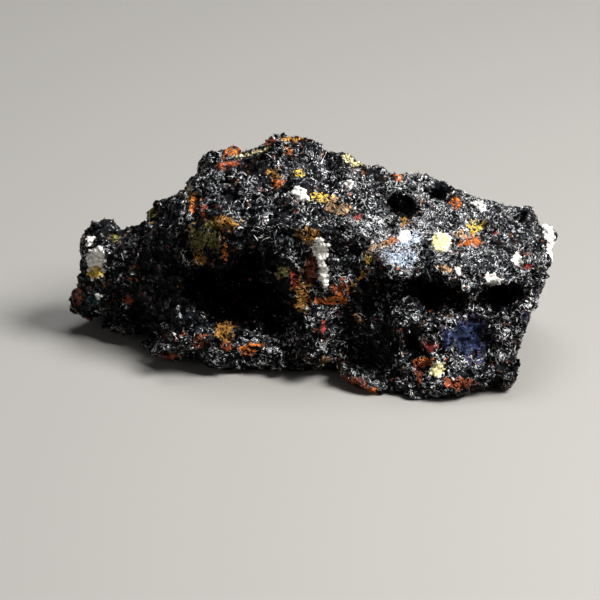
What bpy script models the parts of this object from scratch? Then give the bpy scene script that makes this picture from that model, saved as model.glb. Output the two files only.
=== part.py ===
"""Hand specimen of specular hematite, one broken lump of foliated iron oxide.

The lump is a union of overlapping masses of broken rock: a deep right mass with a
block at its right end, a shallower left mass with a crown over it, the ridge between
them, and a nub with a knob at the left end. Bosses are added and hollows worn into
it. The surface is then worked into lumps, facets and thin ledges, the front outline
is drawn to its measured line, and the underside is one flat parting face.

Masses are placed in X, Y and Z from the middle of the lump. Bosses, hollows and the
outline are placed by their look from the front, in the picture basis: across runs to
the right, up runs up the front view, and out comes towards the viewer, who looks down
on the lump by VIEW_TILT.
"""

import math

import bmesh
import bpy
import numpy as np
from mathutils import Matrix, Vector, noise

# Driving dimensions. The script's own unit is the metre; tables are in millimetres.
MM = 0.001
NODE = "hematite_specimen"
VIEW_TILT = math.radians(24)  # how far the front view looks down
FLOOR = -20.4  # height of the flat underside below the middle of the lump
BLANK_SIDE = 400  # side of the cube that each mass is broken from
GRAIN = 1.1  # side of the even mesh that the surface is worked on
EASE_FACTOR, EASE_PASSES = 0.5, 3  # how far its inner corners are eased, and how often
TRIANGLES = 9600
SHARP_ANGLE = math.radians(38)  # an edge that turns further than this is shaded as an edge

# The front outline, clockwise from the lower tip of the nub: across and up.
OUTLINE = (
    (-61.0, -10.5), (-60.3, -5.0), (-58.6, -1.2), (-57.5, 2.2), (-58.3, 7.6), (-57.0, 10.4),
    (-54.6, 12.0), (-51.4, 12.6), (-48.2, 11.6), (-44.8, 10.4), (-42.3, 11.6), (-41.4, 14.4),
    (-40.0, 16.5), (-36.4, 18.0), (-33.2, 20.3), (-31.0, 23.0), (-28.7, 25.6), (-27.5, 29.3),
    (-24.2, 29.7), (-21.2, 30.0), (-19.2, 31.2), (-17.0, 30.0), (-13.8, 30.6), (-11.2, 32.8),
    (-7.2, 34.2), (-1.6, 33.5), (1.4, 32.8), (5.8, 30.2), (10.6, 29.2), (13.6, 27.2),
    (17.0, 25.6), (21.4, 24.8), (25.6, 24.7), (31.4, 23.2), (37.2, 21.0), (42.4, 18.6),
    (48.4, 16.3), (55.8, 15.6), (57.6, 12.4), (59.8, 11.4), (61.6, 8.6), (60.4, 5.0),
    (59.4, -1.2), (58.4, -5.6), (56.0, -10.0), (54.2, -15.0), (52.4, -20.0), (51.4, -25.6),
    (49.8, -29.2), (45.0, -29.4), (39.8, -30.6), (32.4, -31.5), (24.4, -32.0), (19.6, -30.4),
    (15.6, -31.0), (10.2, -28.6), (6.4, -26.4), (4.6, -24.6), (-5.0, -25.2), (-15.0, -24.8),
    (-24.4, -25.0), (-28.0, -22.2), (-35.4, -22.3), (-41.0, -22.0), (-44.0, -17.6),
    (-47.6, -16.0), (-51.6, -15.2), (-56.4, -12.2),
)
OUTLINE_STEP = 1.0  # spacing of the rows and columns in which the outline is drawn
OUTLINE_BAND = 1.3  # half width of the strip that each of them looks at
OUTLINE_REACH = 4.5  # the furthest that the drawing moves a point
OUTLINE_PASSES = (1, 0, 1, 0)  # the ends of its rows, then of its columns, and both again
STANDING_BAND = 7.0  # height above the underside over which it turns from moving back to up

# Masses: the middle in X, Y and Z, then each broken face with the compass direction that
# it looks to (0 is the front and 90 the right), its tilt above level, and its distance.
MASSES = {
    "right mass": ((32, -2, -2), {
        "front": (4, 15, 24.0),
        "front left corner": (-42, 8, 24.6),
        "front right corner": (44, 4, 31.0),
        "front shoulder": (12, 46, 24.4),
        "top slope": (42, 67, 14.4),
        "right end": (88, -14, 23.0),
        "right back": (134, 8, 30.0),
        "back": (174, 8, 23.0),
        "back slope": (166, 44, 24.2),
        "left flank": (-72, 6, 25.5),
        "below": (0, -90, 24.0),
    }),
    "right block": ((50, -2, -2), {
        "front": (14, 8, 18.5),
        "front corner": (48, -4, 15.4),
        "front shoulder": (22, 42, 18.0),
        "top": (30, 78, 14.4),
        "right end": (88, -16, 7.6),
        "upper right": (72, 42, 15.0),
        "right back": (128, 0, 17.5),
        "back": (172, 10, 20.0),
        "back slope": (150, 52, 19.5),
        "buried side": (-90, 0, 20.0),
        "below": (0, -90, 25.5),
    }),
    "left mass": ((-18, 4, 0), {
        "front": (-6, -3, 18.2),
        "front corner": (-30, 6, 18.7),
        "top shelf": (-12, 69, 24.2),
        "left shoulder": (-84, 43, 24.3),
        "left end": (-88, 3, 24.2),
        "left back": (-138, 10, 24.0),
        "back": (-176, 7, 17.5),
        "back slope": (-164, 50, 26.5),
        "buried side": (90, 0, 28.0),
        "below": (0, -90, 24.5),
    }),
    "crown": ((-4, 10, 8), {
        "front": (6, 26, 15.2),
        "front top": (4, 58, 19.6),
        "top": (24, 80, 21.8),
        "left": (-78, 34, 19.6),
        "right": (76, 34, 22.0),
        "back": (175, 14, 11.6),
        "back top": (178, 56, 19.0),
        "below": (160, -62, 8.0),
    }),
    "ridge": ((2, -8, 2), {
        "front": (-4, 9, 5.6),
        "left": (-74, 6, 6.4),
        "top": (-8, 52, 11.4),
        "right": (90, 0, 9.0),
        "back": (180, 0, 22.0),
        "below": (0, -90, 26.0),
    }),
    "nub": ((-51, 8, -10), {
        "front": (-16, 3, 7.0),
        "front corner": (-52, -12, 10.2),
        "left end": (-86, 18, 8.9),
        "underside": (-45, -65, 7.3),
        "top": (-90, 78, 9.4),
        "left back": (-134, 6, 9.6),
        "back": (-176, 8, 10.5),
        "buried side": (90, 0, 14.0),
        "below": (0, -90, 16.0),
    }),
    "knob": ((-50.5, 7, 2.5), {
        "front": (-8, 10, 7.6),
        "front top": (-16, 52, 7.4),
        "left end": (-94, -8, 7.6),
        "left front": (-52, 4, 8.0),
        "left top": (-86, 44, 7.4),
        "top": (0, 82, 7.2),
        "left back": (-136, 14, 8.0),
        "back": (180, 14, 8.4),
        "back top": (176, 54, 7.8),
        "buried side": (90, 0, 14.0),
        "below": (0, -90, 9.0),
    }),
}

# Hollows worn into the lump: across, up and out of each one's middle, its half sizes along
# those three, and its turn in the plane of the front view, in degrees.
HOLLOWS = {
    "recess": ((-18.5, -7.4, 12.0), (11.5, 8.4, 15.0), -4),
    "recess left bay": ((-26.6, -5.4, 9.0), (6.0, 7.0, 9.0), 12),
    "recess roof": ((-15.4, 1.6, 12.5), (4.6, 4.6, 12.0), -24),
    "recess right bay": ((-8.6, -9.6, 12.5), (4.8, 6.4, 11.5), 10),
    "middle hollow": ((16.5, -7.0, 21.0), (7.4, 6.6, 6.6), 24),
    "middle low hollow": ((13.6, -18.6, 21.6), (6.6, 4.6, 6.0), -14),
    "low slit": ((25.2, -19.6, 23.4), (2.2, 5.0, 5.4), -6),
    "deep hollow": ((31.0, -7.0, 22.6), (8.8, 4.6, 9.5), -14),
    "right hollow": ((46.6, -7.0, 19.6), (6.8, 4.2, 9.0), 12),
    "blue hollow": ((41.6, -17.6, 24.0), (5.8, 5.6, 5.2), 0),
    "top pit": ((-13.2, 25.4, -3.0), (3.6, 2.4, 4.6), 0),
    "slope pit": ((23.0, 15.2, 4.8), (4.6, 2.8, 5.6), -18),
    "upper slope pit": ((32.6, 18.6, -1.6), (3.0, 2.2, 4.2), 10),
    "nub pocket": ((-49.6, -7.4, 0.5), (3.6, 3.4, 5.0), 0),
    "nub waist": ((-59.5, -0.5, 0.0), (3.4, 2.2, 9.0), 14),
    "back bay": ((12.0, 8.0, -29.5), (15.0, 8.0, 7.0), 10),
    "back pit": ((-26.0, 9.0, -24.0), (7.0, 5.0, 5.0), -20),
    "back low bay": ((42.0, -3.0, -25.0), (8.0, 5.0, 4.5), 24),
}

# Bosses that stand out of the masses, placed as the hollows are.
BOSSES = {
    "brow": ((-19.0, 9.4, 10.0), (13.0, 5.6, 7.5), 5),
    "hanging edge": ((-24.4, 5.4, 10.6), (2.6, 6.6, 3.6), 8),
    "lower lip": ((-20.0, -20.4, 4.6), (21.0, 4.6, 6.4), -3),
    "upper lip": ((-12.0, -14.6, 4.0), (8.0, 2.6, 5.4), 8),
    "ridge foot": ((2.0, -15.0, 10.4), (6.0, 9.0, 6.6), 12),
    "septum": ((38.8, -6.4, 19.4), (2.4, 7.0, 5.0), 22),
    "blue boss": ((33.8, -17.6, 19.6), (5.4, 7.4, 6.4), -12),
    "middle boss": ((22.0, -13.4, 17.8), (3.0, 6.6, 6.4), 18),
    "rust foot": ((13.4, -26.6, 13.6), (7.6, 3.2, 5.4), -22),
    "right foot": ((36.0, -26.4, 18.4), (15.0, 4.2, 6.0), 3),
    "back boss": ((-8.0, -1.0, -17.5), (16.0, 12.0, 7.0), 16),
    "back heel": ((28.0, 1.0, -21.5), (9.0, 12.0, 5.5), -24),
}

# Bosses and hollows are balls with a rough surface.
BALL_SUBDIVISIONS = 4
BALL_BUMPS = 1.4  # bumps to a radius
BALL_ROUGHNESS = 0.28  # their height as a share of the radius
BALL_FRACTAL = (0.8, 2.0, 3)  # how fast finer bumps get lower, how much finer, how many sizes

# Worked surface: size and height of its lumps, knobs, broken facets and ledges.
LUMP_SIZE, LUMP_HEIGHT = 12.0, 1.8
KNOB_SIZE, KNOB_HEIGHT = 4.4, 0.9
FACET_SIZE, FACET_HEIGHT = 7.5, 1.5
LEDGE_STEP, LEDGE_HEIGHT = 4.6, 0.9
ROLL_FALL, ROLL_STEP = 1, 2  # how fast finer lumps get lower, and how much finer each size is
KNOB_START, LEDGE_START = 200, 50  # where their noise begins, so that none repeats another
FACET_SEED = 4  # fixes the facets' tilts, so that every run gives the same lump
FACET_SCATTER = 7.3  # spreads the cells' middles, so that each has a tilt of its own
FACET_SPAN = 2.0  # brings the facets' heights to about -1 to 1
LEDGE_WARP, LEDGE_WARP_SIZE = 3.0, 16.0  # how far a ledge wanders up and down, and over what length
LEDGE_FLATNESS = 3  # the higher, the flatter a ledge's face and the sharper its edges
LEDGE_DIP = Vector((0.22, -0.30, 1.0)).normalized()  # square to the foliation
LEVEL_BAND = 2.2  # height above the underside within which the work fades out
LEVEL_SNAP = 0.35  # points this near to the underside are set on it


def clear_scene():
    """Removes whatever the scene holds."""
    for obj in list(bpy.data.objects):
        bpy.data.objects.remove(obj, do_unlink=True)


def new_collection(name):
    """A collection of the scene."""
    collection = bpy.data.collections.new(name)
    bpy.context.scene.collection.children.link(collection)
    return collection


def picture_basis():
    """Turns across, up and out of the front view into X, Y and Z."""
    across = Vector((1, 0, 0))
    up = Vector((0, math.sin(VIEW_TILT), math.cos(VIEW_TILT)))
    return Matrix((across, up, across.cross(up))).transposed()


def facing(compass, tilt):
    """The unit vector towards a compass direction and a tilt above level, in degrees."""
    compass, tilt = math.radians(compass), math.radians(tilt)
    level = math.cos(tilt)
    return Vector((math.sin(compass) * level, -math.cos(compass) * level, math.sin(tilt)))


def mesh_object(name, mesh, collection):
    """An object for a mesh, in a collection."""
    obj = bpy.data.objects.new(name, mesh)
    collection.objects.link(obj)
    return obj


def as_tool(obj):
    """Marks an object as a cutter or a guide, which isn't part of the specimen."""
    obj.hide_render = True
    obj.display_type = "WIRE"
    return obj


def broken_mass(name, middle, faces, collection):
    """A convex mass of rock: a cube cut down by a plane for each broken face."""
    bm = bmesh.new()
    bmesh.ops.create_cube(bm, size=BLANK_SIDE * MM)
    for compass, tilt, away in faces.values():
        normal = facing(compass, tilt)
        cut = bmesh.ops.bisect_plane(
            bm,
            geom=bm.verts[:] + bm.edges[:] + bm.faces[:],
            plane_co=normal * away * MM,
            plane_no=normal,
            clear_outer=True,
        )
        rim = [part for part in cut["geom_cut"] if isinstance(part, bmesh.types.BMEdge)]
        bmesh.ops.contextual_create(bm, geom=rim)
    bmesh.ops.recalc_face_normals(bm, faces=bm.faces)
    mesh = bpy.data.meshes.new(name)
    bm.to_mesh(mesh)
    bm.free()
    obj = mesh_object(name.replace(" ", "_"), mesh, collection)
    obj.location = Vector(middle) * MM
    return obj


def underside_block(collection):
    """A block whose top is the flat parting face under the lump."""
    bm = bmesh.new()
    bmesh.ops.create_cube(bm, size=BLANK_SIDE * MM)
    mesh = bpy.data.meshes.new("underside_block")
    bm.to_mesh(mesh)
    bm.free()
    block = mesh_object("underside_block", mesh, collection)
    block.location.z = (FLOOR - BLANK_SIDE / 2) * MM
    return block


def rounded_form(name, middle, half_sizes, turn, collection):
    """A boss or a hollow: a sphere stretched, turned in the front view, and roughened."""
    bm = bmesh.new()
    bmesh.ops.create_icosphere(bm, subdivisions=BALL_SUBDIVISIONS, radius=1)
    for vert in bm.verts:
        bump = noise.fractal(vert.co * BALL_BUMPS + Vector(middle), *BALL_FRACTAL)
        vert.co *= 1 + BALL_ROUGHNESS * bump
    mesh = bpy.data.meshes.new(name)
    bm.to_mesh(mesh)
    bm.free()
    basis = picture_basis()
    stretch = Matrix.Diagonal(Vector(half_sizes) * MM)
    turned = basis @ Matrix.Rotation(math.radians(turn), 3, "Z") @ stretch
    obj = mesh_object(name.replace(" ", "_"), mesh, collection)
    obj.matrix_world = Matrix.Translation(basis @ Vector(middle) * MM) @ turned.to_4x4()
    return obj


def joined(base, tools, operation):
    """Adds one exact Boolean to the base for each tool."""
    for tool in tools:
        step = base.modifiers.new(tool.name, "BOOLEAN")
        step.operation = operation
        step.solver = "EXACT"
        step.object = as_tool(tool)
    return base


def without_crumbs(mesh):
    """Takes away every loose piece but the largest."""
    bm = bmesh.new()
    bm.from_mesh(mesh)
    waiting, pieces = set(bm.verts), []
    while waiting:
        piece, edge = set(), {waiting.pop()}
        while edge:
            piece |= edge
            edge = {end.other_vert(vert) for vert in edge for end in vert.link_edges} - piece
        waiting -= piece
        pieces.append(piece)
    pieces.sort(key=len)
    crumbs = [vert for piece in pieces[:-1] for vert in piece]
    bmesh.ops.delete(bm, geom=crumbs, context="VERTS")
    bm.to_mesh(mesh)
    bm.free()


def evened(obj, name, collection):
    """The object's shape as one closed mesh of even squares, its inner corners eased."""
    remesh = obj.modifiers.new("even", "REMESH")
    remesh.mode = "VOXEL"
    remesh.voxel_size = GRAIN * MM
    ease = obj.modifiers.new("ease", "SMOOTH")
    ease.factor = EASE_FACTOR
    ease.iterations = EASE_PASSES
    graph = bpy.context.evaluated_depsgraph_get()
    mesh = bpy.data.meshes.new_from_object(obj.evaluated_get(graph))
    mesh.name = name
    mesh.transform(obj.matrix_world)
    without_crumbs(mesh)
    as_tool(obj)
    return mesh_object(name, mesh, collection)


def values_of(mesh, attribute):
    """The vertices' places or normals as an array with a row for each."""
    flat = np.empty(len(mesh.vertices) * 3)
    mesh.vertices.foreach_get(attribute, flat)
    return flat.reshape(-1, 3)


def rolling(points, size, octaves):
    """Soft noise at each point, about -1 to 1, with lumps of the given size."""
    return np.array(
        [noise.fractal(Vector(point / size), ROLL_FALL, ROLL_STEP, octaves) for point in points]
    )


def ledges(points):
    """Thin steps of the foliation: 1 on the face of a ledge, and 0 in the groove between two."""
    wander = rolling(points + LEDGE_START, LEDGE_WARP_SIZE, 2) * LEDGE_WARP
    phase = (points @ np.array(LEDGE_DIP) + wander) / LEDGE_STEP
    return 1 - np.abs(2 * (phase - np.floor(phase)) - 1) ** LEDGE_FLATNESS


def facets(points):
    """Small broken faces: every cell of the rock is a plane of its own tilt, about -1 to 1."""
    noise.seed_set(FACET_SEED)
    heights = []
    for point in points:
        place = Vector(point / FACET_SIZE)
        middle = noise.voronoi(place)[1][0]
        lean = noise.noise_vector(middle * FACET_SCATTER)
        heights.append((place - middle).dot(lean) * FACET_SPAN)
    return np.array(heights)


def work_surface(points, normals):
    """Raises lumps, knobs, facets and ledges along the normals, and levels the underside."""
    steep = np.sqrt(np.clip(1 - normals[:, 2] ** 2, 0, 1))
    height = (
        LUMP_HEIGHT * rolling(points, LUMP_SIZE, 2)
        + KNOB_HEIGHT * rolling(points + KNOB_START, KNOB_SIZE, 3)
        + FACET_HEIGHT * facets(points)
        + LEDGE_HEIGHT * (ledges(points) - 0.5) * steep
    )
    fade = np.clip((points[:, 2] - FLOOR) / LEVEL_BAND, 0, 1)
    return points + normals * (height * fade)[:, None]


def crossings(axis, place):
    """Where a line across the outline, at a place on one axis, first and last meets it."""
    loop = np.array(OUTLINE + OUTLINE[:1])
    start, step = loop[:-1], np.diff(loop, axis=0)
    share = (place - start[:, axis]) / np.where(step[:, axis] == 0, np.inf, step[:, axis])
    meets = (share >= 0) & (share <= 1) & (step[:, axis] != 0)
    found = (start + share[:, None] * step)[meets, 1 - axis]
    return found.min(), found.max()


def outline_shift(seen, axis):
    """How far each point moves so that its row or column ends on the outline.

    The first and last point of each strip are brought to the outline, and the points
    between them follow less and less towards the middle of the strip.
    """
    line, along = np.array(OUTLINE)[:, axis], seen[:, axis]
    first = max(line.min(), along.min()) + OUTLINE_BAND
    last = min(line.max(), along.max()) - OUTLINE_BAND
    places = np.arange(first, last, OUTLINE_STEP)
    ends, wanted = [], []
    for place in places:
        strip = seen[np.abs(along - place) < OUTLINE_BAND, 1 - axis]
        ends.append((strip.min(), strip.max()))
        wanted.append(crossings(axis, place))
    ends = np.array(ends)
    moves = np.clip(np.array(wanted) - ends, -OUTLINE_REACH, OUTLINE_REACH)
    low, high = (np.interp(along, places, ends[:, side]) for side in (0, 1))
    low_move, high_move = (np.interp(along, places, moves[:, side]) for side in (0, 1))
    share = np.clip((2 * seen[:, 1 - axis] - low - high) / (high - low), -1, 1)
    return np.where(share > 0, high_move, low_move) * share**2


def draw_outline(points):
    """Moves the points so that the lump's outline from the front is the measured one.

    Across, a point moves along X. Up, a high point moves along Z and one on the underside
    along Y, so that the underside stays level.
    """
    basis = np.array(picture_basis())
    for axis in OUTLINE_PASSES:
        seen = points @ basis
        shift = outline_shift(seen[:, :2], axis)
        if axis == 1:
            points[:, 0] += shift
        else:
            risen = np.clip((points[:, 2] - FLOOR) / STANDING_BAND, 0, 1)
            points[:, 1] += shift * (1 - risen) / math.sin(VIEW_TILT)
            points[:, 2] += shift * risen / math.cos(VIEW_TILT)
    return points


def worked(obj):
    """Works the lump's surface, draws its outline and sets its underside level."""
    mesh = obj.data
    points = work_surface(values_of(mesh, "co") / MM, values_of(mesh, "normal"))
    points = draw_outline(points)
    points[points[:, 2] < FLOOR + LEVEL_SNAP, 2] = FLOOR
    mesh.vertices.foreach_set("co", (points * MM).ravel())
    mesh.update()


def thinned(obj):
    """Takes the even mesh down to the chosen number of triangles, fewest where it is flat."""
    count = sum(len(face.vertices) - 2 for face in obj.data.polygons)
    thin = obj.modifiers.new("thin", "DECIMATE")
    thin.ratio = TRIANGLES / count
    thin.use_collapse_triangulate = True
    graph = bpy.context.evaluated_depsgraph_get()
    obj.data = bpy.data.meshes.new_from_object(obj.evaluated_get(graph))
    obj.modifiers.clear()


def set_on_origin(obj):
    """Moves the mesh so that the middle of the underside of its box is the origin."""
    points = values_of(obj.data, "co")
    low, high = points.min(axis=0), points.max(axis=0)
    points -= ((low[0] + high[0]) / 2, (low[1] + high[1]) / 2, FLOOR * MM)
    points[points[:, 2] < LEVEL_SNAP * MM, 2] = 0
    obj.data.vertices.foreach_set("co", points.ravel())
    obj.data.update()


def specularite():
    """Dark steel-grey iron oxide with a metallic shine."""
    material = bpy.data.materials.new("specularite")
    material.use_nodes = True
    shader = material.node_tree.nodes["Principled BSDF"]
    shader.inputs["Base Color"].default_value = (0.09, 0.09, 0.10, 1)
    shader.inputs["Metallic"].default_value = 0.8
    shader.inputs["Roughness"].default_value = 0.42
    return material


def main():
    clear_scene()
    specimen = new_collection("specular_hematite")
    tools = new_collection("cutters")
    masses = [broken_mass(name, *mass, tools) for name, mass in MASSES.items()]
    bosses = [rounded_form(name, *form, tools) for name, form in BOSSES.items()]
    hollows = [rounded_form(name, *form, tools) for name, form in HOLLOWS.items()]
    rock = joined(masses[0], masses[1:] + bosses, "UNION")
    joined(rock, [*hollows, underside_block(tools)], "DIFFERENCE")
    lump = evened(rock, NODE, specimen)
    worked(lump)
    thinned(lump)
    set_on_origin(lump)
    lump.data.materials.clear()
    lump.data.materials.append(specularite())
    lump.data.shade_smooth()
    lump.data.set_sharp_from_angle(angle=SHARP_ANGLE)


main()
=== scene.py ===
"""Looks of a specular hematite hand specimen.

The rock is one skin of broken, foliated iron oxide. Thin laths and plates of specular
hematite stand on it, limonite crusts lie in patches, and quartz grains sit between them.

Lengths are in millimetres until a mesh is made. What is placed by its look from the front
is given in the picture basis: across runs to the right, up runs up the front view, and out
comes towards the viewer, who looks down on the lump by VIEW_TILT.
"""

import logging
import math
from dataclasses import dataclass, field
from enum import Enum

import bmesh
import bpy
import numpy as np
from mathutils import Matrix, Vector


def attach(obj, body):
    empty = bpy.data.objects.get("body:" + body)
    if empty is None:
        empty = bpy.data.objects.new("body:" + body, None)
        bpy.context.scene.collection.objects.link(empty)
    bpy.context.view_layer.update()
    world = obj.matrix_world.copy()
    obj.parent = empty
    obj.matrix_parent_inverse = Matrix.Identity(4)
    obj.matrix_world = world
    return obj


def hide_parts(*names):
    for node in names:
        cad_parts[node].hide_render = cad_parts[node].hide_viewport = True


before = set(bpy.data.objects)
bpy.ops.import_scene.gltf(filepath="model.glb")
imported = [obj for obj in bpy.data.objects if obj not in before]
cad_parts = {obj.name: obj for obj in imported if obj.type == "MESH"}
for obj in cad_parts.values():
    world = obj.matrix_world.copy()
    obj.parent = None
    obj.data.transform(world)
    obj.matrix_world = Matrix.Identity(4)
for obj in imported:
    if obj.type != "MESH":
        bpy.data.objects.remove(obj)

log = logging.getLogger("hematite")

MM = 0.001
NODE = "hematite_specimen"
BODY = "root"
VIEW_TILT = math.radians(24)
VIEW_MIDDLE = np.array([-0.23, 2.92, 20.4])  # the picture basis starts here, in the lump's axes
FOLIATION = np.array([0.20, -0.28, 0.94])  # square to the sheets that the rock splits along
FLOOR_GAP = 0.02  # flakes end this far above the underside
PAINTED_GLINT_METAL = 0.5  # these flakes are painted glints, half metallic so that the painted glint shows from most sides
SEED = 11


class Tint(Enum):
    """Colours of crusts and grains, as sRGB hex values."""

    OCHRE = "A8772F"
    ORANGE = "CB6C22"
    RUST = "8A3E1C"
    RED = "8C2618"
    YELLOW = "DDBB4A"
    CREAM = "EBE0A4"
    OLIVE = "645F2A"
    TAN = "B18D66"
    TEAL = "3D5A57"
    BLUE = "26335C"
    PALE_BLUE = "B3C0D3"
    WHITE = "F0EEE8"


def linear(code: str) -> tuple[float, float, float]:
    """Turns an sRGB hex value to linear red, green and blue.

    Args:
        code: six hex digits.

    Returns:
        The three linear values, from 0 to 1.
    """
    shares = [int(code[i:i + 2], 16) / 255 for i in (0, 2, 4)]
    return tuple(s / 12.92 if s <= 0.04045 else ((s + 0.055) / 1.055) ** 2.4 for s in shares)


@dataclass(frozen=True)
class Zone:
    """A part of the front with more or fewer painted glints, which paint light or shade, or whose flakes stand
    upright.
    """

    across: float
    up: float
    half_across: float
    half_up: float
    turn: float
    shine: float
    upright: float = 0.0
    order: float = 0.55


@dataclass(frozen=True)
class Patch:
    """A crust or a nest of grains on the front."""

    across: float
    up: float
    half_across: float
    half_up: float
    turn: float
    tint: Tint


# The share of flakes that show as painted glints over the front, from 0 to about 1: painted light on the lit
# right slope, its clusters and the hollow rims, painted shade on the left side and in the recess, hollows,
# pits and slit. Later zones go over earlier ones.
ZONES = {
    "right slope": Zone(31, 14, 31, 15, -14, 0.80, 0, 0.12),
    "middle of the top": Zone(5, 22, 14, 9, -20, 0.70, 0, 0.45),
    "top shelf": Zone(-13, 24, 18, 9, 6, 0.52, 0, 0.85),
    "right end": Zone(53, 0, 7, 15, 0, 0.55, 0, 0.2),
    # Painted shade: the left side is kept dull.
    "shoulder": Zone(-38, 0, 9, 21, 0, 0.13, 1.0, 0.9),
    "nub": Zone(-52, -3, 9, 12, 0, 0.17, 0, 0.85),
    "knob": Zone(-50, 8, 8, 5, 0, 0.26, 0, 0.95),
    "front seam": Zone(5, -5, 7, 12, 0, 0.62),
    "right wall": Zone(-4, 4, 6, 12, -12, 0.40, 1.0, 0.85),
    "curtain": Zone(-25, 8, 6, 8, 0, 0.22, 1.0, 0.85),
    # Painted shade in the recess, hollows, pits and slit, and painted highlights on the hollow rims.
    "recess": Zone(-17, -3, 15, 9, -6, 0.03),
    "recess depth": Zone(-17, -7.5, 12, 9, 0, 0.0),
    "middle hollow": Zone(14, -9, 7, 8, 20, 0.22),
    "deep hollow rim": Zone(31, -7, 12, 7.4, -12, 0.85),
    "right hollow rim": Zone(47.5, -7, 8.4, 6.2, 10, 0.75),
    "deep hollow": Zone(31, -7, 8.6, 4.6, -12, 0.0),
    "right hollow": Zone(47, -7, 5.8, 3.8, 10, 0.02),
    "slope pit": Zone(23, 16, 4.2, 3, -16, 0.03),
    "upper pit": Zone(33, 20, 2.6, 2, 0, 0.08),
    "top pit": Zone(-13, 25, 3.6, 2, 0, 0.04),
    "low dark": Zone(14, -19, 8, 6, 0, 0.20),
    "slit": Zone(25.5, -17, 2.2, 5, 0, 0.02),
    "blue area": Zone(40, -16, 11, 8, 0, 0.75),
    "blue hollow": Zone(39.8, -16.5, 4.4, 5.4, 0, 0.15),
    "slope cluster": Zone(23, 3, 6, 3.2, -14, 1.1, 0, 0.1),
    "slope upper cluster": Zone(25, 8.6, 4.2, 2.6, 20, 1.1, 0, 0.1),
    "slope left cluster": Zone(15.5, 10, 5, 3.4, -20, 1.0, 0, 0.1),
    "crown cluster": Zone(10, 21.5, 3.2, 2.4, 0, 1.1, 0, 0.1),
    "end cluster": Zone(48, 1, 7, 4, 0, 0.9, 0, 0.2),
    "right foot": Zone(36, -27, 17, 4, 2, 0.62),
    "lower lip": Zone(-16, -20, 23, 4.5, -2, 0.46, 0, 0.75),
    "left foot": Zone(-35, -20, 8, 4, -8, 0.70),
    "shoulder fibre": Zone(-31.8, 13.8, 0.7, 6.0, -12, 1.0, 1.0, 1.0),
    "second fibre": Zone(-29.7, 12.0, 0.6, 3.4, 0, 0.9, 1.0, 1.0),
    "curtain curl": Zone(-31, 2.5, 0.6, 3.2, 20, 0.9, 1.0, 1.0),
    "recess fibre": Zone(-32.8, -9, 0.5, 3.4, 4, 0.7, 1.0, 1.0),
    "wall fibre": Zone(-4, 3.5, 0.6, 5.2, 14, 1.1, 1.0, 1.0),
    "diagonal vein": Zone(23.5, -9.8, 5.8, 1.0, -36, 1.0),
    "septum vein": Zone(39.5, -5.8, 0.9, 3.2, 30, 1.1),
    "blue rim": Zone(35.6, -14.5, 0.7, 4.8, 0, 1.0),
    "end rim": Zone(58.6, 3, 0.8, 5.4, 0, 1.2),
    "low vein": Zone(29, -17, 1.1, 3.6, 24, 1.1),
    "lip vein": Zone(-34.2, -15.8, 5.6, 0.8, -42, 0.9),
}

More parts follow.
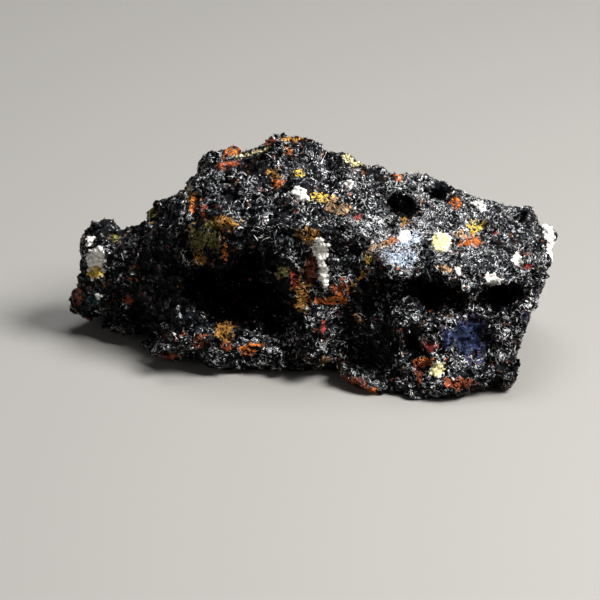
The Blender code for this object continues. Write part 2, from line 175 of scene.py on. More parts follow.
CRUSTS = {
    "shelf peak": Patch(-19.2, 29.8, 2.6, 1.3, 20, Tint.ORANGE),
    "shelf band": Patch(-20, 26.3, 3.2, 1.1, 8, Tint.RUST),
    "crown tip": Patch(-4, 32.8, 2.8, 1.0, 0, Tint.OCHRE),
    "crown spot": Patch(-5.5, 29.3, 1.1, 1.3, 0, Tint.ORANGE),
    "crown left": Patch(-10.5, 32.2, 2.2, 0.9, 12, Tint.RUST),
    "crown line": Patch(-13, 29.6, 4.5, 0.5, 14, Tint.CREAM),
    "shelf orange": Patch(-7.8, 21.5, 1.6, 1.1, 0, Tint.ORANGE),
    "shelf ochre": Patch(-9.5, 24.2, 2.2, 1.3, -20, Tint.OCHRE),
    "shelf yellow": Patch(-2.8, 24, 1.6, 0.9, 0, Tint.YELLOW),
    "slope yellow": Patch(3, 17.8, 3.2, 1.3, -6, Tint.YELLOW),
    "slope tan": Patch(7, 15.2, 3.6, 1.8, -12, Tint.TAN),
    "slope red dot": Patch(11.8, 12.8, 0.9, 0.9, 0, Tint.RED),
    "slope cream": Patch(11.5, 27.2, 3.0, 1.5, -16, Tint.CREAM),
    "slope orange": Patch(22, 23.5, 1.2, 1.1, 0, Tint.ORANGE),
    "streak red": Patch(-29.2, 16.2, 0.9, 3.0, 0, Tint.ORANGE),
    "streak red low": Patch(-26.2, 14.2, 1.1, 2.0, 0, Tint.RUST),
    "streak ochre": Patch(-29, 8.2, 0.9, 3.6, 0, Tint.OCHRE),
    "streak green": Patch(-30.5, 19.5, 0.7, 3.4, 6, Tint.OLIVE),
    "curtain top": Patch(-21.8, 11.2, 4.2, 2.0, 0, Tint.OCHRE),
    "curtain": Patch(-25.5, 7.2, 4.2, 4.2, 0, Tint.OLIVE),
    "curtain drip": Patch(-21, 4.2, 0.7, 4.2, 4, Tint.ORANGE),
    "curtain edge": Patch(-27.5, 2.5, 2.0, 1.6, -30, Tint.OCHRE),
    "wall ochre": Patch(-0.5, 8.2, 2.8, 2.4, -30, Tint.OCHRE),
    "wall olive": Patch(-6.5, -0.5, 2.1, 1.7, 0, Tint.OLIVE),
    "wall brown": Patch(0, -0.8, 1.8, 4.2, -10, Tint.RUST),
    "wall low ochre": Patch(-2, -6.2, 2.3, 4.6, 8, Tint.OCHRE),
    "wall rust": Patch(-4, -2.2, 0.9, 1.9, 0, Tint.RED),
    "seam rust": Patch(7.8, -5, 2.5, 2.5, 0, Tint.RUST),
    "seam orange": Patch(6, -7.6, 4.2, 1.2, 6, Tint.ORANGE),
    "seam ochre": Patch(12, -2, 0.9, 3.4, -48, Tint.OCHRE),
    "seam yellow": Patch(14.2, 2.5, 1.2, 1.2, 0, Tint.YELLOW),
    "seam low tan": Patch(11.5, -11.5, 0.8, 2.4, 34, Tint.TAN),
    "seam red": Patch(3.2, -14, 0.8, 1.8, 0, Tint.RED),
    "slope drip": Patch(23.2, 11, 1.0, 2.8, -6, Tint.OCHRE),
    "slope flame": Patch(20.5, 7.2, 2.2, 1.0, 22, Tint.ORANGE),
    "slope line": Patch(17, 5.8, 3.4, 0.7, 16, Tint.TAN),
    "upper orange": Patch(36.3, 16.8, 1.7, 1.5, 0, Tint.ORANGE),
    "crystal tan": Patch(37.2, 8.6, 1.8, 1.5, 0, Tint.TAN),
    "crystal red": Patch(39.5, 7, 3.0, 1.5, 12, Tint.ORANGE),
    "crystal green": Patch(41.5, 10.8, 2.1, 1.6, 0, Tint.YELLOW),
    "crystal dot": Patch(46, 9, 0.8, 0.8, 0, Tint.RED),
    "end red": Patch(53.5, 0.6, 1.4, 0.9, 20, Tint.RED),
    "slope low tan": Patch(33, 0.2, 2.0, 0.9, -20, Tint.TAN),
    "nub olive": Patch(-48.5, 8, 2.0, 1.1, 0, Tint.OLIVE),
    "nub teal": Patch(-54.5, -7.5, 1.9, 2.4, 0, Tint.TEAL),
    "nub rust": Patch(-58.5, -7, 1.4, 2.0, 0, Tint.RUST),
    "nub brown": Patch(-45.5, -7.8, 1.7, 1.5, 0, Tint.RUST),
    "nub red": Patch(-55, -13.5, 3.0, 0.9, -20, Tint.RED),
    "shoulder ledge": Patch(-39.8, 14.2, 1.9, 2.0, 0, Tint.OLIVE),
    "lip ochre": Patch(-21, -15, 2.4, 3.0, 0, Tint.OCHRE),
    "lip rust": Patch(-27.5, -17.5, 1.8, 1.7, 0, Tint.RUST),
    "lip low rust": Patch(-21, -19.2, 2.1, 1.0, 0, Tint.RUST),
    "lip orange": Patch(-15.5, -19.5, 2.4, 1.5, 24, Tint.ORANGE),
    "lip left": Patch(-35.5, -21.5, 3.6, 0.9, 0, Tint.RUST),
    "foot tan": Patch(4, -22.2, 1.0, 1.0, 0, Tint.TAN),
    "foot red": Patch(11, -28, 6.0, 1.6, -26, Tint.RUST),
    "foot orange": Patch(15.2, -30, 1.5, 1.1, 0, Tint.ORANGE),
    "low orange": Patch(28, -22.5, 2.5, 1.4, 0, Tint.ORANGE),
    "low rust": Patch(26.5, -25.5, 1.1, 3.0, 0, Tint.RUST),
    "low long rust": Patch(36.5, -27.8, 4.4, 1.5, 0, Tint.RUST),
    "low pink": Patch(29.5, -19, 2.4, 1.8, -30, Tint.RED),
    "pale blue": Patch(25, 8, 3.4, 2.4, 20, Tint.PALE_BLUE),
    "pale blue low": Patch(22.5, 3, 4.6, 2.2, -10, Tint.PALE_BLUE),
    "blue": Patch(39.5, -16.5, 4.4, 5.4, 0, Tint.BLUE),
    "blue left": Patch(33.8, -16.5, 1.6, 3.2, 0, Tint.BLUE),
    "blue dot": Patch(52.8, -11.5, 1.4, 1.1, 0, Tint.BLUE),
}

GRAIN_NESTS = {
    "nub quartz": Patch(-53.5, 2.4, 2.1, 2.6, -8, Tint.WHITE),
    "nub gold": Patch(-53.4, -0.6, 2.1, 1.3, 0, Tint.YELLOW),
    "nub speck": Patch(-55, 7.5, 0.9, 0.7, 0, Tint.WHITE),
    "nub low speck": Patch(-52.8, -6.5, 0.6, 0.5, 0, Tint.WHITE),
    "wall quartz": Patch(2.5, 4.8, 1.5, 2.5, 6, Tint.WHITE),
    "wall quartz tail": Patch(3.4, -1, 1.0, 3.2, 8, Tint.WHITE),
    "shelf quartz": Patch(-2.5, 18.4, 1.2, 2.2, 40, Tint.WHITE),
    "slope quartz": Patch(9.8, 21.2, 1.0, 0.7, 0, Tint.WHITE),
    "pale blue quartz": Patch(23.5, 8.2, 1.5, 1.0, 30, Tint.WHITE),
    "cream crystal": Patch(32.3, 6.8, 2.1, 2.1, 0, Tint.CREAM),
    "upper quartz": Patch(42, 16.2, 1.3, 0.8, 0, Tint.WHITE),
    "end quartz": Patch(51, 2.5, 1.1, 1.3, 0, Tint.WHITE),
    "end low quartz": Patch(45, -2.5, 1.6, 1.2, -10, Tint.WHITE),
    "slope sliver": Patch(36.5, 0, 0.7, 1.2, 20, Tint.WHITE),
    "edge quartz": Patch(59.6, 7.6, 0.8, 4.6, 4, Tint.WHITE),
    "low crystal": Patch(31.3, -24.5, 1.6, 1.5, 0, Tint.CREAM),
}


def picture_basis() -> np.ndarray:
    """The unit vectors across, up and out as the columns of a matrix."""
    sine, cosine = math.sin(VIEW_TILT), math.cos(VIEW_TILT)
    return np.array([[1, 0, 0], [0, sine, -cosine], [0, cosine, sine]])


def unit(vectors: np.ndarray) -> np.ndarray:
    """Vectors of length 1 in the same directions."""
    return vectors / np.maximum(np.linalg.norm(vectors, axis=-1, keepdims=True), 1e-9)


def scrambled(cells: np.ndarray, seed: int) -> np.ndarray:
    """Gives every cell of a lattice three random numbers that are the same each time.

    The three whole coordinates are multiplied by large odd numbers and added, the bits of
    the sum are folded onto each other twice, and three runs of 21 bits are read from it.

    Args:
        cells: whole coordinates, with the last axis of 3.
        seed: another seed gives other numbers.

    Returns:
        Numbers from 0 to 1, in the shape of cells.
    """
    odd = np.array([0x9E3779B97F4A7C15, 0xC2B2AE3D27D4EB4F, 0x165667B19E3779F9], np.uint64)
    value = (cells.astype(np.int64).astype(np.uint64) * odd).sum(axis=-1)
    value = value + np.array(seed * 7919 + 1, np.uint64)
    for shift, factor in ((33, 0xFF51AFD7ED558CCD), (29, 0xC4CEB9FE1A85EC53)):
        value = (value ^ (value >> np.uint64(shift))) * np.array(factor, np.uint64)
    value = value ^ (value >> np.uint64(32))
    mask = np.uint64(0x1FFFFF)
    runs = [(value >> np.uint64(shift)) & mask for shift in (0, 21, 42)]
    return np.stack(runs, axis=-1).astype(float) / 0x1FFFFF


def soft_noise(points: np.ndarray, size: float, seed: int) -> np.ndarray:
    """Gradient noise: each lattice corner has a slope, and the eight slopes are blended.

    Args:
        points: places, one row each.
        size: width of a lattice cell.
        seed: another seed gives another noise.

    Returns:
        One value for each point, about -0.8 to 0.8.
    """
    place = points / size
    corner = np.floor(place)
    inside = place - corner
    ease = inside ** 3 * (inside * (inside * 6 - 15) + 10)
    total = np.zeros(len(points))
    for offset in np.ndindex(2, 2, 2):
        step = np.array(offset)
        slope = scrambled(corner + step, seed) * 2 - 1
        share = np.where(step == 1, ease, 1 - ease).prod(axis=1)
        total += share * (slope * (inside - step)).sum(axis=1)
    return total * 1.3


def layered_noise(points: np.ndarray, size: float, layers: int, seed: int) -> np.ndarray:
    """Soft noise plus finer layers, each half as wide and half as high as the one before."""
    return sum(soft_noise(points, size / 2 ** i, seed + i) / 2 ** i for i in range(layers))


def broken_cells(points: np.ndarray, size: float, seed: int) -> tuple[np.ndarray, np.ndarray]:
    """Breaks space into cells round scattered middles, each with a sloping plane of its own.

    A plane's height is the dot product of the way from the cell's middle and a random
    vector. The gap is how much further the second nearest middle is than the nearest.

    Args:
        points: places, one row each.
        size: usual width of a cell.
        seed: another seed gives other cells.

    Returns:
        The plane's height at each point, about -1 to 1, and the gap, 0 on a cell's edge.
    """
    place = points / size
    corner = np.floor(place)
    nearest = np.full(len(points), np.inf)
    second = np.full(len(points), np.inf)
    height = np.zeros(len(points))
    for offset in np.ndindex(3, 3, 3):
        cell = corner + np.array(offset) - 1
        way = place - (cell + scrambled(cell, seed))
        distance = np.sqrt((way ** 2).sum(axis=1))
        lean = scrambled(cell, seed + 1) * 2 - 1
        closer = distance < nearest
        second = np.where(closer, nearest, np.minimum(second, distance))
        height = np.where(closer, (way * lean).sum(axis=1), height)
        nearest = np.where(closer, distance, nearest)
    return height * 1.6, second - nearest


@dataclass(frozen=True)
class Breakage:
    """Cells that the rock breaks into, whose borders wander."""

    size: float
    warp: float
    warp_size: float
    seed: int
    probe: float = 0.06

    def cells(self, points: np.ndarray) -> tuple[np.ndarray, np.ndarray]:
        """Each point's height on its cell's plane, and its distance from the border in millimetres."""
        shift = [soft_noise(points, self.warp_size, self.seed + 5 + i) for i in range(3)]
        height, gap = broken_cells(points + self.warp * np.stack(shift, axis=1), self.size, self.seed)
        return height, gap * self.size / 2

    def along(self, points: np.ndarray, normals: np.ndarray) -> np.ndarray:
        """The way the nearest border runs: square to the normal and to the way the gap grows."""
        slope = [
            self.cells(points + self.probe * axis)[1] - self.cells(points - self.probe * axis)[1]
            for axis in np.eye(3)
        ]
        return unit(np.cross(normals, np.stack(slope, axis=1)))


FACETS = Breakage(3.1, 1.5, 3.6, SEED + 10)
CHIPS = Breakage(1.5, 0.8, 1.9, SEED + 30)


@dataclass
class Surface:
    """A surface as arrays: places in millimetres, normals and triangles."""

    points: np.ndarray
    normals: np.ndarray
    triangles: np.ndarray
    shine: np.ndarray = field(default_factory=lambda: np.empty(0))
    upright: np.ndarray = field(default_factory=lambda: np.empty(0))
    order: np.ndarray = field(default_factory=lambda: np.empty(0))
    stain: np.ndarray = field(default_factory=lambda: np.empty(0))
    stained: np.ndarray = field(default_factory=lambda: np.empty(0))


def numbers_of(items: bpy.types.bpy_prop_collection, name: str, width: int, kind: type) -> np.ndarray:
    """Reads one attribute of a mesh's vertices, loops or triangles into rows of width."""
    flat = np.empty(len(items) * width, kind)
    items.foreach_get(name, flat)
    return flat.reshape(-1, width)


def surface_of(mesh: bpy.types.Mesh) -> Surface:
    """Reads a mesh as a surface."""
    mesh.calc_loop_triangles()
    return Surface(
        numbers_of(mesh.vertices, "co", 3, np.float32).astype(float) / MM,
        numbers_of(mesh.vertices, "normal", 3, np.float32).astype(float),
        numbers_of(mesh.loop_triangles, "vertices", 3, np.int32),
    )


def mesh_of(name: str, points: np.ndarray, triangles: np.ndarray) -> bpy.types.Mesh:
    """Makes a mesh from places in millimetres and triangles."""
    mesh = bpy.data.meshes.new(name)
    mesh.vertices.add(len(points))
    mesh.vertices.foreach_set("co", (points * MM).astype(np.float32).ravel())
    mesh.loops.add(triangles.size)
    mesh.loops.foreach_set("vertex_index", triangles.astype(np.int32).ravel())
    mesh.polygons.add(len(triangles))
    mesh.polygons.foreach_set("loop_start", np.arange(0, triangles.size, 3, dtype=np.int32))
    mesh.update(calc_edges=True)
    return mesh


def above_floor(points: np.ndarray) -> np.ndarray:
    """Places as rows of three, none of them under the surface that the lump rests on."""
    rows = points.reshape(-1, 3)
    rows[:, 2] = np.maximum(rows[:, 2], FLOOR_GAP)
    return rows


def add_colour(mesh: bpy.types.Mesh, name: str, colours: np.ndarray, amount: np.ndarray) -> None:
    """Keeps a colour and an amount, as its alpha, at each vertex."""
    layer = mesh.attributes.new(name, "FLOAT_COLOR", "POINT")
    values = np.column_stack((colours, amount)).astype(np.float32)
    layer.data.foreach_set("color", values.ravel())


def add_value(mesh: bpy.types.Mesh, name: str, values: np.ndarray) -> None:
    """Keeps one number at each vertex."""
    mesh.attributes.new(name, "FLOAT", "POINT").data.foreach_set("value", values.astype(np.float32))


def as_piece(name: str, mesh: bpy.types.Mesh, material: bpy.types.Material) -> bpy.types.Object:
    """Puts a mesh into the scene as a piece of the specimen.

    Args:
        name: the piece's name.
        mesh: its mesh, in place.
        material: its finish.

    Returns:
        The piece.
    """
    piece = bpy.data.objects.new(name, mesh)
    bpy.context.scene.collection.objects.link(piece)
    mesh.materials.clear()
    mesh.materials.append(material)
    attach(piece, BODY)
    log.info("%s: %d triangles", name, len(mesh.loop_triangles) or len(mesh.polygons))
    return piece


def inside_patch(seen: np.ndarray, patch: Zone | Patch, rough: np.ndarray, soft: float) -> np.ndarray:
    """How far points are inside a turned ellipse of the front view.

    The distance is 1 on the ellipse, and noise pushes that edge in and out.

    Args:
        seen: places in the picture basis.
        patch: the ellipse.
        rough: noise at each place.
        soft: width of the edge as a share of the ellipse.

    Returns:
        0 outside to 1 inside.
    """
    turn = math.radians(patch.turn)
    across, up = seen[:, 0] - patch.across, seen[:, 1] - patch.up
    along = (across * math.cos(turn) + up * math.sin(turn)) / patch.half_across
    over = (up * math.cos(turn) - across * math.sin(turn)) / patch.half_up
    return np.clip((1 + soft / 2 - np.hypot(along, over) + rough) / soft, 0, 1)


@dataclass
class Paint:
    """Where the rock gets painted glints, painted light and painted shade, where its flakes stand upright, and
    where it is stained.
    """

    shine_elsewhere: float = 0.50
    order_elsewhere: float = 0.55
    zone_softness: float = 0.35
    crust_softness: float = 0.70
    crust_cover: float = 0.74
    edge_noise: float = 0.45
    facing_from: float = -0.35
    facing_band: float = 0.30
    bare_size: float = 4.6
    scatter_size: float = 4.2
    scatter_limit: float = 0.40

    def cover(self, surface: Surface) -> None:
        """Works out the painted glint and shade share, the standing and the stain at each point of a surface.
        """
        basis = picture_basis()
        seen = (surface.points - VIEW_MIDDLE) @ basis
        front = (surface.normals @ basis[:, 2] - self.facing_from) / self.facing_band
        front = np.clip(front, 0, 1)
        rough = layered_noise(surface.points, 2.4, 3, SEED + 40) * self.edge_noise
        bare = 0.9 * soft_noise(surface.points, self.bare_size, SEED + 44)
        shine = np.full(len(surface.points), self.shine_elsewhere)
        upright = np.zeros(len(shine))
        order = np.full(len(shine), self.order_elsewhere)
        # The zones paint light and shade into the share of flakes that glint.
        for zone in ZONES.values():
            share = inside_patch(seen, zone, rough, self.zone_softness) * front
            shine = shine + share * (zone.shine - shine)
            upright = upright + share * (zone.upright - upright)
            order = order + share * (zone.order - order)
        surface.shine = np.clip(shine * (1 + bare), 0, 1.2)
        surface.upright, surface.order = upright, order
        self.stain(surface, seen, front, rough)

    def stain(self, surface: Surface, seen: np.ndarray, front: np.ndarray, rough: np.ndarray) -> None:
        """Lays small crusts all over, and the named ones over them on the front."""
        stained = np.zeros(len(seen))
        colour = np.tile(linear(Tint.RUST.value), (len(seen), 1))
        for index, tint in enumerate((Tint.RUST, Tint.OCHRE, Tint.ORANGE, Tint.OLIVE)):
            noise = layered_noise(surface.points, self.scatter_size, 3, SEED + 60 + 7 * index)
            share = np.clip((noise - self.scatter_limit - 0.04 * index) / 0.08, 0, 1) * 0.85
            share *= 1 - 0.6 * front
            colour += share[:, None] * (np.array(linear(tint.value)) - colour)
            stained = np.maximum(stained, share)
        mottle = 1 + 0.9 * layered_noise(surface.points, 1.5, 2, SEED + 90)
        for patch in CRUSTS.values():
            share = inside_patch(seen, patch, rough * 1.5, self.crust_softness) * front
            share *= self.crust_cover
            tint = np.array(linear(patch.tint.value)) * np.clip(mottle, 0.35, 1.7)[:, None]
            colour += np.minimum(share * 2, 1)[:, None] * (tint - colour)
            stained = np.maximum(stained, share)
        for nest in GRAIN_NESTS.values():
            share = inside_patch(seen, nest, rough * 0.6, 0.3) * front
            colour += share[:, None] * (np.array(linear(nest.tint.value)) - colour)
            stained = np.maximum(stained, share)
        surface.stain, surface.stained = colour, stained


def add_node(tree: bpy.types.NodeTree, kind: str, links: dict | None = None, **settings) -> bpy.types.Node:
    """Adds a node with its settings and links.

    Args:
        tree: the material's nodes.
        kind: the node's type.
        links: for each input, by name or number, a socket to link or a value to set.
        settings: the node's own properties.

    Returns:
        The node.
    """
    node = tree.nodes.new(kind)
    for name, value in settings.items():
        setattr(node, name, value)
    for name, value in (links or {}).items():
        if isinstance(value, bpy.types.NodeSocket):
            tree.links.new(value, node.inputs[name])
        else:
            node.inputs[name].default_value = value
    return node


def new_material(name: str) -> tuple[bpy.types.Material, bpy.types.NodeTree, bpy.types.Node]:
    """A material with nodes, its tree and its Principled shader."""
    material = bpy.data.materials.new(name)
    material.use_nodes = True
    tree = material.node_tree
    return material, tree, tree.nodes["Principled BSDF"]


@dataclass(frozen=True)
class Curl:
    """One way that the thin painted glints on the edges of flakes run, as their size along three axes."""

    size_mm: tuple[float, float, float]
    axis: tuple[float, float, float]
    width: float

    def turn(self) -> tuple[float, float, float]:
        """The angles that turn straight up into the axis."""
        return tuple(Vector(self.axis).to_track_quat("Z", "Y").to_euler())


@dataclass(frozen=True)
class SpeculariteGround:
    """Massive specular hematite, broken and not cut: a near black, half metallic ground.

    Thin silver curls are painted on a ground that is black: painted glints, where the edges of
    flakes would catch the light. They run every way on the slope, along the sheets where the rock is
    foliated, and up and down where it is fibrous. Limonite and quartz tint the same curls.
    """

    ground: str = "0D0E10"
    # The curls are coloured this silver as painted glints.
    silver: str = "E4E6EA"
    loose: Curl = Curl((0.72, 0.72, 0.72), (0, 0, 1), 0.050)
    sheeted: Curl = Curl((2.4, 2.4, 0.52), tuple(FOLIATION), 0.045)
    fibrous: Curl = Curl((0.65, 0.8, 4.2), (0, 0, 1), 0.040)
    warp_mm: float = 0.9
    clump_mm: float = 3.2
    fine_clump_mm: float = 1.0
    clump_depth: float = 1.8
    crust_width: float = 2.2
    facet_mm: float = 1.45
    facet_tilt: float = 0.4
    bump_mm: float = 0.06
    painted_glint_metal: float = PAINTED_GLINT_METAL
    hole_depth: float = 2.0

    def material(self) -> bpy.types.Material:
        """Builds the nodes."""
        material, tree, shader = new_material("specular_hematite_ground")
        place = add_node(tree, "ShaderNodeTexCoord").outputs["Object"]
        scaled = add_node(tree, "ShaderNodeMapping", {"Vector": place, "Scale": (1 / MM,) * 3}).outputs[0]
        noise = add_node(tree, "ShaderNodeTexNoise", {"Vector": scaled, "Scale": 0.55, "Detail": 3.0})
        centred = add_node(tree, "ShaderNodeVectorMath", {0: noise.outputs["Color"], 1: (0.5,) * 3},
                           operation="SUBTRACT")
        pushed = add_node(tree, "ShaderNodeVectorMath",
                          {0: centred.outputs[0], 1: (4 * self.warp_mm,) * 3}, operation="MULTIPLY")
        warped = add_node(tree, "ShaderNodeVectorMath", {0: scaled, 1: pushed.outputs[0]},
                          operation="ADD").outputs[0]
        values = {
            name: add_node(tree, "ShaderNodeAttribute", attribute_name=name).outputs["Fac"]
            for name in ("shine", "ridge", "order", "upright")
        }
        away = self.blend(tree, self.blend(tree, self.away(tree, warped, self.loose),
                                           self.away(tree, warped, self.sheeted), values["order"]),
                          self.away(tree, warped, self.fibrous), values["upright"])
        line = add_node(tree, "ShaderNodeMapRange", {"Value": away, "From Min": 0.4, "From Max": 1.0,
                                                     "To Min": 1.0, "To Max": 0.0}).outputs[0]
        wide = add_node(tree, "ShaderNodeMapRange", {
            "Value": away, "From Min": 0.6 * self.crust_width, "From Max": self.crust_width,
            "To Min": 1.0, "To Max": 0.0}).outputs[0]
        # Painted glints: curls show in clumps by the painted glint and shade share, and on painted highlight
        # ridges.
        shown = add_node(tree, "ShaderNodeMath", {
            0: self.clumps(tree, warped, values["shine"]), 1: values["ridge"]}, operation="MAXIMUM").outputs[0]
        painted_glint = add_node(tree, "ShaderNodeMath", {0: line, 1: shown}, operation="MULTIPLY").outputs[0]
        stain = add_node(tree, "ShaderNodeAttribute", attribute_name="stain")
        holes = add_node(tree, "ShaderNodeTexNoise", {"Vector": warped, "Scale": 0.85, "Detail": 3.0})
        broken = add_node(tree, "ShaderNodeMath", {
            0: holes.outputs["Fac"], 1: self.hole_depth, 2: stain.outputs["Alpha"]},
            operation="MULTIPLY_ADD")
        patch = add_node(tree, "ShaderNodeMapRange", {
            "Value": broken.outputs[0], "From Min": 0.44 + self.hole_depth / 2,
            "From Max": 0.62 + self.hole_depth / 2}).outputs[0]
        amount = add_node(tree, "ShaderNodeMath", {0: patch, 1: wide}, operation="MULTIPLY").outputs[0]
        # The ground is near black, with the painted glints in silver.
        metal = add_node(tree, "ShaderNodeMix", {0: painted_glint, 6: (*linear(self.ground), 1),
                                                 7: (*linear(self.silver), 1)}, data_type="RGBA")
        crumbs = add_node(tree, "ShaderNodeTexNoise", {"Vector": scaled, "Scale": 2.2, "Detail": 2.0})
        shade = add_node(tree, "ShaderNodeMapRange", {"Value": crumbs.outputs["Fac"], "From Min": 0.3,
                                                      "From Max": 0.7, "To Min": 0.45, "To Max": 1.5})
        crust = add_node(tree, "ShaderNodeVectorMath", {0: stain.outputs["Color"], "Scale": shade.outputs[0]},
                         operation="SCALE")
        colour = add_node(tree, "ShaderNodeMix", {0: amount, 6: metal.outputs[2], 7: crust.outputs[0]},
                          data_type="RGBA")
        metal_share = add_node(tree, "ShaderNodeMapRange", {"Value": painted_glint, "To Min": 1.0,
                                                            "To Max": self.painted_glint_metal}).outputs[0]
        metallic = self.blend(tree, metal_share, 0.0, amount)
        cells = add_node(tree, "ShaderNodeTexVoronoi", {"Vector": warped, "Scale": 1 / self.facet_mm})
        gloss = add_node(tree, "ShaderNodeSeparateColor", {"Color": cells.outputs["Color"]})
        rough = add_node(tree, "ShaderNodeMapRange", {"Value": gloss.outputs[0], "To Min": 0.30,
                                                      "To Max": 0.60})
        rougher = add_node(tree, "ShaderNodeMath", {0: rough.outputs[0], 1: amount}, operation="MAXIMUM")
        tree.links.new(colour.outputs[2], shader.inputs["Base Color"])
        tree.links.new(metallic, shader.inputs["Metallic"])
        tree.links.new(rougher.outputs[0], shader.inputs["Roughness"])
        tree.links.new(self.normal(tree, cells, painted_glint), shader.inputs["Normal"])
        return material

    def away(self, tree: bpy.types.NodeTree, place: bpy.types.NodeSocket,
             curl: Curl) -> bpy.types.NodeSocket:
        """How far a place is from the nearest curl.

        The curls are where smooth noise passes through its middle value.

        Args:
            tree: the material's nodes.
            place: the warped place in millimetres.
            curl: how the curls run.

        Returns:
            0 on a curl's middle line and 1 on its edge.
        """
        turned_place = add_node(tree, "ShaderNodeMapping", {
            "Vector": place, "Rotation": curl.turn(), "Scale": curl.size_mm}, vector_type="TEXTURE")
        noise = add_node(tree, "ShaderNodeTexNoise", {"Vector": turned_place.outputs[0], "Scale": 1.0,
                                                      "Detail": 1.0})
        centred = add_node(tree, "ShaderNodeMath", {0: noise.outputs["Fac"], 1: 0.5},
                           operation="SUBTRACT")
        size = add_node(tree, "ShaderNodeMath", {0: centred.outputs[0]}, operation="ABSOLUTE")
        return add_node(tree, "ShaderNodeMath", {0: size.outputs[0], 1: curl.width},
                        operation="DIVIDE").outputs[0]

    def blend(self, tree: bpy.types.NodeTree, first: bpy.types.NodeSocket,
              second: bpy.types.NodeSocket | float, share: bpy.types.NodeSocket) -> bpy.types.NodeSocket:
        """The first number at share 0 and the second at share 1."""
        return add_node(tree, "ShaderNodeMix", {0: share, 2: first, 3: second},
                        data_type="FLOAT").outputs[0]

    def clumps(self, tree: bpy.types.NodeTree, place: bpy.types.NodeSocket,
               shine: bpy.types.NodeSocket) -> bpy.types.NodeSocket:
        """Where the curls show as painted glints: in clumps, with bare ground between, more where the zones
        paint light and fewer where they paint shade.
        """
        large = add_node(tree, "ShaderNodeTexNoise", {"Vector": place, "Scale": 1 / self.clump_mm,
                                                      "Detail": 2.0})
        small = add_node(tree, "ShaderNodeTexNoise", {"Vector": place, "Scale": 1 / self.fine_clump_mm,
                                                      "Detail": 1.0})
        mixed = add_node(tree, "ShaderNodeMath", {
            0: large.outputs["Fac"], 1: self.clump_depth, 2: small.outputs["Fac"]},
            operation="MULTIPLY_ADD").outputs[0]
        limit = add_node(tree, "ShaderNodeMapRange", {"Value": shine, 
                                                     "To Min": 0.84 + self.clump_depth / 2,
                                                     "To Max": 0.40 + self.clump_depth / 2})
        above = add_node(tree, "ShaderNodeMath", {0: mixed, 1: limit.outputs[0]}, operation="SUBTRACT")
        return add_node(tree, "ShaderNodeMapRange", {"Value": above.outputs[0],
                                                     "From Max": 0.10}).outputs[0]

    def normal(self, tree: bpy.types.NodeTree, cells: bpy.types.Node,
               painted_glint: bpy.types.NodeSocket) -> bpy.types.NodeSocket:
        """Tilts each flake by its own random vector and raises the painted glints a little."""
        facing = add_node(tree, "ShaderNodeNewGeometry").outputs["Normal"]
        lean = add_node(tree, "ShaderNodeVectorMath", {0: cells.outputs["Color"], 1: (0.5,) * 3},
                        operation="SUBTRACT")
        tilt = add_node(tree, "ShaderNodeVectorMath", {0: lean.outputs[0], "Scale": self.facet_tilt},
                        operation="SCALE")
        leaned = add_node(tree, "ShaderNodeVectorMath", {0: facing, 1: tilt.outputs[0]}, operation="ADD")
        whole = add_node(tree, "ShaderNodeVectorMath", {0: leaned.outputs[0]}, operation="NORMALIZE")
        return add_node(tree, "ShaderNodeBump", {"Height": painted_glint, "Distance": self.bump_mm * MM,
                                                 "Strength": 1.0, "Normal": whole.outputs[0]}).outputs[0]


@dataclass(frozen=True)
class SpeculariteFlake:
    """Single flakes of specular hematite: flat crystal faces with fine striations, silver where a flake is a
    painted glint.
    """

    striation_mm: float = 0.30
    smooth: float = 0.22
    dull: float = 0.46

    def material(self) -> bpy.types.Material:
        """Builds the nodes."""
        material, tree, shader = new_material("specular_hematite_flake")
        place = add_node(tree, "ShaderNodeTexCoord").outputs["Object"]
        scaled = add_node(tree, "ShaderNodeMapping", {"Vector": place, "Scale": (1 / MM,) * 3})
        noise = add_node(tree, "ShaderNodeTexNoise", {"Vector": scaled.outputs[0],
                                                      "Scale": 1 / self.striation_mm, "Detail": 2.0})
        colour = add_node(tree, "ShaderNodeAttribute", attribute_name="flake")
        shade = add_node(tree, "ShaderNodeMapRange", {"Value": noise.outputs["Fac"], "From Min": 0.3,
                                                      "From Max": 0.7, "To Min": 0.75, "To Max": 1.1})
        shaded = add_node(tree, "ShaderNodeVectorMath", {0: colour.outputs["Color"],
                                                         "Scale": shade.outputs[0]}, operation="SCALE")
        rough = add_node(tree, "ShaderNodeMapRange", {"Value": noise.outputs["Fac"], "From Min": 0.3,
                         "From Max": 0.7, "To Min": self.smooth, "To Max": self.dull})
        tree.links.new(shaded.outputs[0], shader.inputs["Base Color"])
        tree.links.new(rough.outputs[0], shader.inputs["Roughness"])
        tree.links.new(colour.outputs["Alpha"], shader.inputs["Metallic"])
        return material


@dataclass(frozen=True)
class MilkyQuartz:
    """Milky quartz: vitreous white grains, their colour clouded by noise."""

    ior: float = 1.54
    roughness: float = 0.24
    cloud_mm: float = 1.1

    def material(self) -> bpy.types.Material:
        """Builds the nodes."""
        material, tree, shader = new_material("milky_quartz")
        place = add_node(tree, "ShaderNodeTexCoord").outputs["Object"]
        scaled = add_node(tree, "ShaderNodeMapping", {"Vector": place, "Scale": (1 / MM,) * 3})
        cloud = add_node(tree, "ShaderNodeTexNoise", {"Vector": scaled.outputs[0],
                                                      "Scale": 1 / self.cloud_mm, "Detail": 3.0})
        colour = add_node(tree, "ShaderNodeAttribute", attribute_name="flake")
        shade = add_node(tree, "ShaderNodeMapRange", {"Value": cloud.outputs["Fac"], "From Min": 0.3,
                                                      "From Max": 0.7, "To Min": 0.7, "To Max": 1.05})
        shaded = add_node(tree, "ShaderNodeVectorMath", {0: colour.outputs["Color"],
                                                         "Scale": shade.outputs[0]}, operation="SCALE")
        tree.links.new(shaded.outputs[0], shader.inputs["Base Color"])
        shader.inputs["Roughness"].default_value = self.roughness
        shader.inputs["IOR"].default_value = self.ior
        return material


